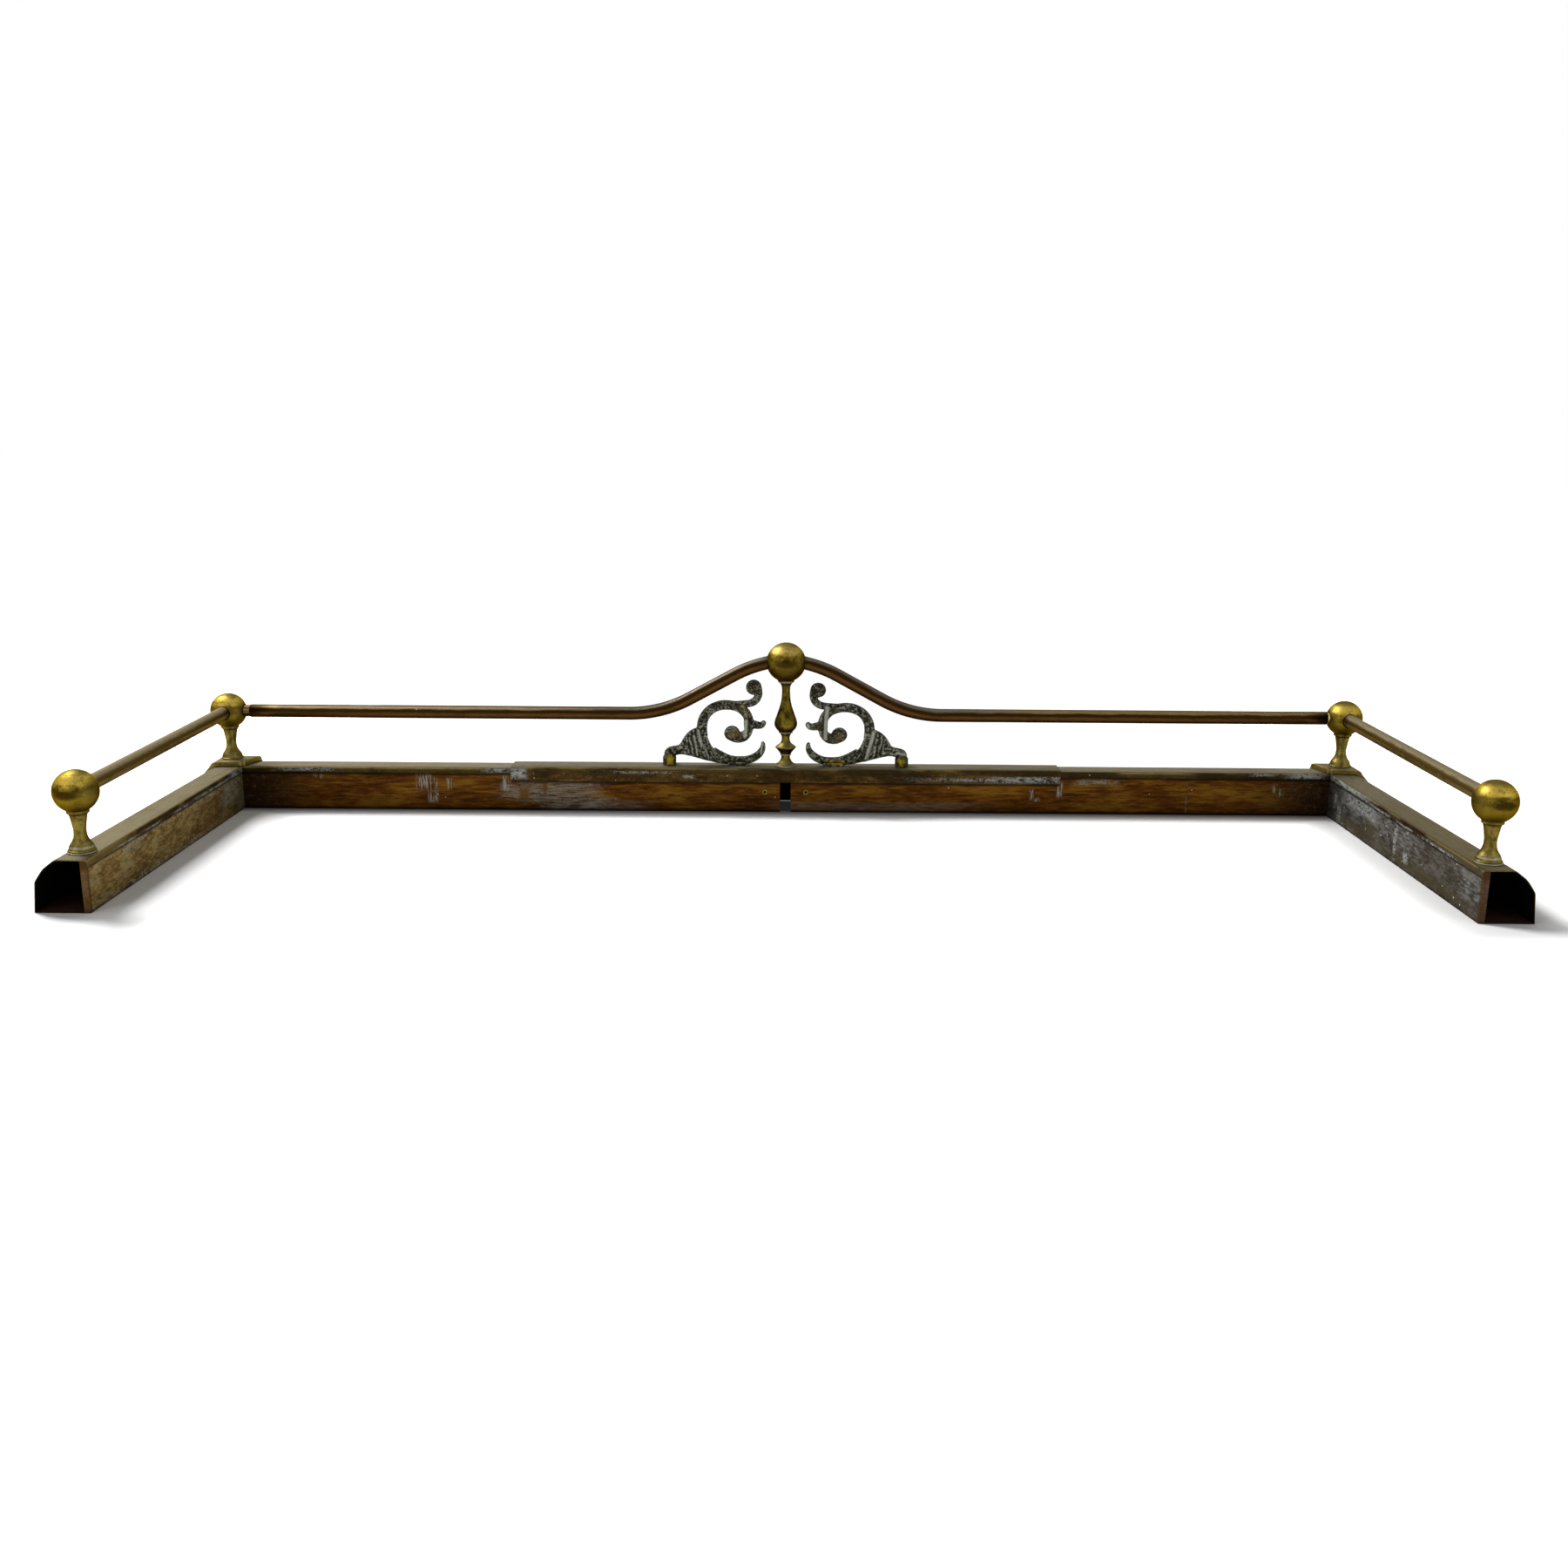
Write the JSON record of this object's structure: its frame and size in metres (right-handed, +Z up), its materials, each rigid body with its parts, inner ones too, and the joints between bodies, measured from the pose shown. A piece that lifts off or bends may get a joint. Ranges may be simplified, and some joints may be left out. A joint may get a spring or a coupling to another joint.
{
  "type": "fireplace fender",
  "caption": "Extending brass hearth fender: a hollow three-sided kerb with ball-topped posts, a telescopic swan-necked rail and two cast scrolls beside a turned centre post.",
  "frame": {"origin": "on the floor, under the centre of the bounding box", "axes": "+X along the front kerb to the right as seen from the hearth, +Y from the hearth to the room, +Z up"},
  "size_m": [1.432, 0.4578, 0.2063],
  "materials": {
    "ball_brass": "aged, rubbed bright on the crown",
    "post_brass": "turned, olive tarnish",
    "rail_brass": "drawn tube, brown tarnish",
    "slide_brass": "drawn tube, kept bright by sliding",
    "kerb_brass": "pressed sheet, dull grey-olive tarnish",
    "cap_brass": "cast, dull olive tarnish",
    "scroll_brass": "rough cast, dark green-grey tarnish",
    "hearth_plate": "brown lacquered sheet iron, stained",
    "floor_plate": "red-brown sheet iron",
    "iron": "dull wrought steel"
  },
  "bodies": {
    "centre": {"centre_cover": "kerb_brass", "centre_post": "post_brass", "centre_ball": "ball_brass", "centre_tie_rod": "iron", "centre_clamp_plate": "iron", "centre_nut": "iron", "left_scroll": "scroll_brass", "right_scroll": "scroll_brass", "scroll_washers": "iron", "scroll_nuts": "iron", "left_swan_rail": "rail_brass", "right_swan_rail": "rail_brass"},
    "left_arm": {"left_front_casing": "kerb_brass", "left_side_casing": "kerb_brass", "left_front_back_plate": "hearth_plate", "left_side_back_plate": "hearth_plate", "left_front_base_plate": "floor_plate", "left_side_base_plate": "floor_plate", "left_corner_cap": "cap_brass", "left_corner_bracket": "iron", "left_corner_post": "post_brass", "left_corner_ball": "ball_brass", "left_end_post": "post_brass", "left_end_ball": "ball_brass", "left_side_rail": "rail_brass", "left_slide_tube": "slide_brass", "left_tie_rods": "iron", "left_washers": "iron", "left_nuts": "iron", "left_eyelet": "slide_brass"},
    "right_arm": {"right_front_casing": "kerb_brass", "right_side_casing": "kerb_brass", "right_front_back_plate": "hearth_plate", "right_side_back_plate": "hearth_plate", "right_front_base_plate": "floor_plate", "right_side_base_plate": "floor_plate", "right_corner_cap": "cap_brass", "right_corner_bracket": "iron", "right_corner_post": "post_brass", "right_corner_ball": "ball_brass", "right_end_post": "post_brass", "right_end_ball": "ball_brass", "right_side_rail": "rail_brass", "right_slide_tube": "slide_brass", "right_tie_rods": "iron", "right_washers": "iron", "right_nuts": "iron", "right_eyelet": "slide_brass"}
  },
  "joints": [
    {"name": "left_arm_slide", "type": "slide", "parent": "centre", "child": "left_arm", "axis": [-1, 0, 0], "range_m": [-0.006, 0.17]},
    {"name": "right_arm_slide", "type": "slide", "parent": "centre", "child": "right_arm", "axis": [1, 0, 0], "range_m": [-0.004, 0.17]}
  ]
}
